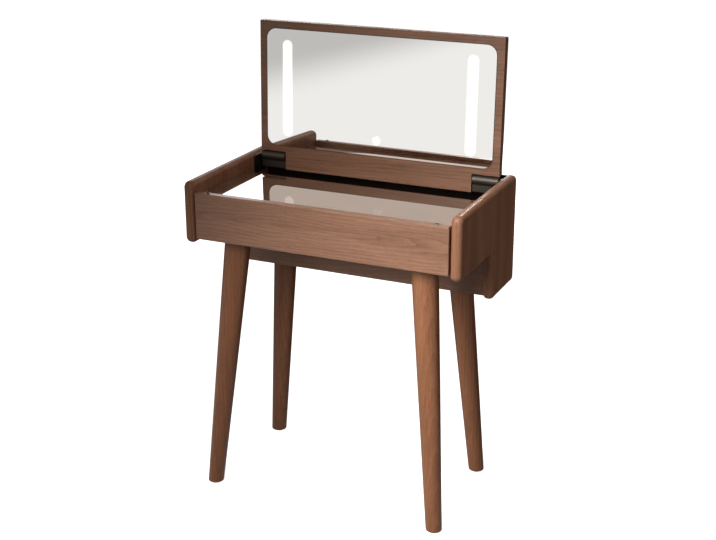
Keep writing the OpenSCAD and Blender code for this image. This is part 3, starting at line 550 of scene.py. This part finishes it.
# -------------------------------------------------------------------- buffers
# Two clear domed buffers are stuck on the drawer front's upper edge, near its
# ends. The flap comes down on them without a knock.

# soft polyurethane: clear as glass, with a soft surface
clear_rubber = speckled("clear soft polyurethane", "#f1f1ef", "#f6f6f4", 1.5, 0.12,
                        Transmission_Weight=0.95, IOR=1.45)
BUFFER_H, BUFFER_R = 3, 4.5
BUFFER_DOME = [(0, BUFFER_H), (2.2, 2.75), (3.4, 2.0), (4.2, 0.8), (BUFFER_R, 0), (0, 0)]
low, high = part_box("flap_bumpers")
for side, name in ((-1, "left"), (1, "right")):
    buffer = turned_round(BUFFER_DOME, 24)
    bmesh.ops.translate(buffer, vec=(side * (high.x - BUFFER_R * MM), (low.y + high.y) / 2, low.z),
                        verts=buffer.verts)
    piece = set_down("flap_buffer_" + name, buffer, "drawer", [clear_rubber], crisp=50)
    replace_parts(piece, "flap_bumpers")

# --------------------------------------------------------------------- hinges
# Black steel plates on the side panels hold the pins. The flap hangs on cast
# arms whose barrels turn on the pins in brass friction sleeves, which keep it
# at any angle.

# gunmetal plating on the casting: dark warm grey with a soft gloss
gunmetal = speckled("gunmetal plated casting", "#4a443d", "#554e46", 1.5, 0.46, 0.03, Metallic=0.7)
# turned brass: dull gold, slightly bright where it rubs
bearing_brass = speckled("bearing brass", "#9b7a3c", "#ae8c4a", 2, 0.3, Metallic=1.0)
for side in ("left", "right"):
    node = "hinge_arm_" + side
    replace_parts(set_down(node + "_casting", eased_copy(node, 0.8), "flap", [gunmetal]),
                node)
    node = "hinge_plate_" + side
    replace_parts(set_down(node + "_pressing", eased_copy(node, 0.5), "table", [powder_coat]),
                node)
carried(["hinge_plate_screws"], powder_coat)
carried(["friction_sleeves"], bearing_brass)

# --------------------------------------------------------------- studio floor
# A white floor, so bright that hardly a shadow shows on it. It gives little light
# back to the table. The mirror shows it bright in front and dark behind.
floor_finish, tree, shader = new_finish("white studio floor", Roughness=0.9, Specular_IOR_Level=0.1,
                                        Emission_Color="#ffffff")
place = add(tree, "TexCoord").outputs["Object"]
spot = add(tree, "SeparateXYZ", [(place, "Vector")])
# how bright a mirror shows it: a little less from three metres to the left on, and nearly dark
# behind the table
leftward = add(tree, "MapRange", [(spot.outputs["X"], "Value")],
               {"From Min": -3.9, "From Max": -2.7, "To Min": 0.6, "To Max": 1.0},
               interpolation_type="SMOOTHSTEP")
forward = add(tree, "MapRange", [(spot.outputs["Y"], "Value")],
              {"From Min": -0.4, "From Max": 0.6, "To Min": 0.98, "To Max": 0.03},
              interpolation_type="SMOOTHSTEP")
bright = add(tree, "Math", [(leftward.outputs[0], 0), (forward.outputs[0], 1)], operation="MULTIPLY")
path = add(tree, "LightPath")
mirrored = add(tree, "Math", [(path.outputs["Is Glossy Ray"], 0), (bright.outputs[0], 1)],
               operation="MULTIPLY")
lift = add(tree, "Math", [(path.outputs["Is Camera Ray"], 0), (mirrored.outputs[0], 2)], {1: 0.92},
           operation="MULTIPLY_ADD")
tree.links.new(lift.outputs[0], shader.inputs["Emission Strength"])
# its own colour: dark grey for the light that it gives back, darker still in a mirror, and pale
# for the camera
unseen = add(tree, "Mix", [(path.outputs["Is Glossy Ray"], 0)],
             {6: linear("#505050"), 7: linear("#161616")}, data_type="RGBA")
seen = add(tree, "Mix", [(path.outputs["Is Camera Ray"], 0), (unseen.outputs[2], 6)],
           {7: linear("#e6e6e6")}, data_type="RGBA")
tree.links.new(seen.outputs[2], shader.inputs["Base Color"])
FLOOR_SIZE = 30
floor_shape = bmesh.new()
bmesh.ops.create_grid(floor_shape, x_segments=1, y_segments=1, size=FLOOR_SIZE)
mesh = bpy.data.meshes.new("studio_floor")
floor_shape.to_mesh(mesh)
floor_shape.free()
mesh.materials.append(floor_finish)
floor = bpy.data.objects.new("studio_floor", mesh)
bpy.context.scene.collection.objects.link(floor)
floor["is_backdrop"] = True

# -------------------------------------------------------------- studio lights
# The surround is white behind the table and a low warm light on it. A narrow
# softbox lights the right half, a window the left, and the rest fill in.
world = bpy.data.worlds.new("studio")
bpy.context.scene.world = world
world.use_nodes = True
tree = world.node_tree
surround = tree.nodes["Background"]
path = add(tree, "LightPath")
level = add(tree, "MapRange", [(path.outputs["Is Camera Ray"], "Value")], {"To Min": 0.19, "To Max": 1.0})
mirrored = add(tree, "Math", [(path.outputs["Is Glossy Ray"], 0), (level.outputs[0], 2)], {1: 0.12},
               operation="MULTIPLY_ADD")
tree.links.new(mirrored.outputs[0], surround.inputs["Strength"])
tone = add(tree, "Mix", [(path.outputs["Is Camera Ray"], 0)], {6: linear("#ffe4cc"), 7: linear("#ffffff")},
           data_type="RGBA")
tree.links.new(tone.outputs[2], surround.inputs["Color"])

# where each light is, where it points, its width and height in metres, watts, and spread in degrees
for name, place, aim, width, height, watts, spread in (
        ("softbox", (-0.02, -1.25, 1.35), (0.38, -0.1, 0.26), 0.3, 1.1, 5.3, 64),
        ("window", (-1.3, -4.0, 2.5), (0.0, 0.0, 0.5), 3.0, 2.0, 18, 180),
        ("side panel", (2.2, -0.1, 0.78), (0.33, 0.0, 0.66), 0.6, 0.5, 0.22, 40),
        ("rear window", (-2.4, 3.77, 1.97), (0.0, 0.0, 0.7), 1.4, 1.2, 26, 180),
        ("rear panel", (-0.5, 3.2, 0.8), (0.0, 0.2, 0.6), 1.3, 1.0, 38, 180)):
    lamp = bpy.data.lights.new(name, "AREA")
    lamp.shape = "RECTANGLE"
    lamp.size = width
    lamp.size_y = height
    lamp.energy = watts
    lamp.spread = radians(spread)
    light = bpy.data.objects.new(name, lamp)
    light.location = place
    light.rotation_euler = (Vector(aim) - Vector(place)).to_track_quat("-Z", "Y").to_euler()
    bpy.context.scene.collection.objects.link(light)

# --------------------------------------------------------------------- camera
# A long lens at standing height, to the right of the table and in front of it.
# The small shift brings the table to its place in the picture.
camera_data = bpy.data.cameras.new("camera")
camera_data.sensor_width = 36
camera_data.lens = 66.64
camera_data.shift_x = -0.0046
camera_data.shift_y = 0.0036
camera_data.clip_end = 100
camera = bpy.data.objects.new("camera", camera_data)
camera.location = (1.1983, FRONT - 2.4188, 1.5512)
camera.rotation_euler = (radians(70.1), 0, radians(24.3))
bpy.context.scene.collection.objects.link(camera)
bpy.context.scene.camera = camera
bpy.context.scene.view_settings.view_transform = "Standard"

low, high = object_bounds()
